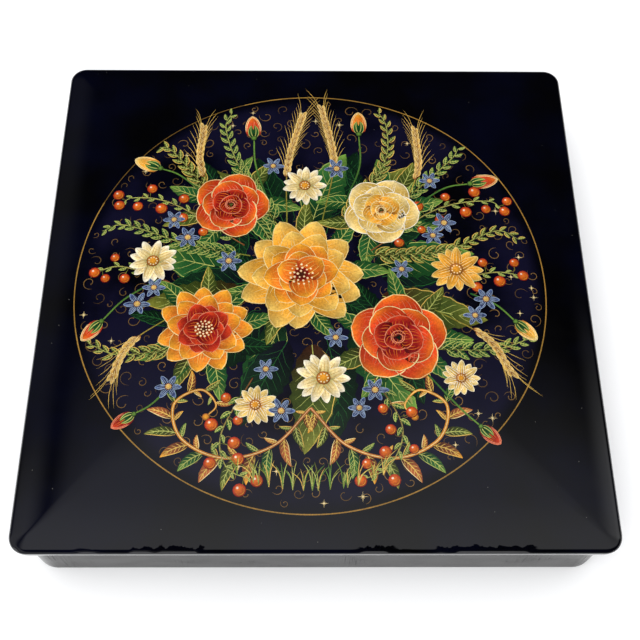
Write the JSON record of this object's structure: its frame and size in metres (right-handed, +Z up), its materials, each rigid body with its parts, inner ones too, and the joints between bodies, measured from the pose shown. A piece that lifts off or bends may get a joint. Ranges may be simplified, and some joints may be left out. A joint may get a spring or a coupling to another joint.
{
  "type": "lacquer box",
  "caption": "Flat square black lacquered box with a low pillow-topped lid that overhangs the walls and opens on a knuckle hinge hidden along the back.",
  "frame": {"origin": "on the table under the middle of the closed box, at the centre of its flat underside", "axes": "+Z up through the lid, -Y towards the front edge, +X to the right seen from the front; the hinge runs along X at the back"},
  "size_m": [0.18, 0.18, 0.0304],
  "materials": {
    "black_lacquer": "gloss",
    "painted_lid": "gloss",
    "red_lacquer": "gloss",
    "hinge_tube": "satin",
    "hinge_wire": "satin"
  },
  "bodies": {
    "box": {"wall_shell": "black_lacquer", "bottom_board": "black_lacquer", "body_knuckle_left": "hinge_tube", "body_knuckle_centre": "hinge_tube", "body_knuckle_right": "hinge_tube", "hinge_pin": "hinge_wire", "pin_plug_left": "hinge_wire", "pin_plug_right": "hinge_wire"},
    "lid": {"lid_board": "painted_lid", "lid_collar": "red_lacquer", "lid_knuckle_left": "hinge_tube", "lid_knuckle_right": "hinge_tube"}
  },
  "joints": [
    {"name": "lid_hinge", "type": "hinge", "parent": "box", "child": "lid", "pos_m": [0, 0.0878, 0.0214], "axis": [-1, 0, 0], "range_deg": [0, 112]}
  ]
}
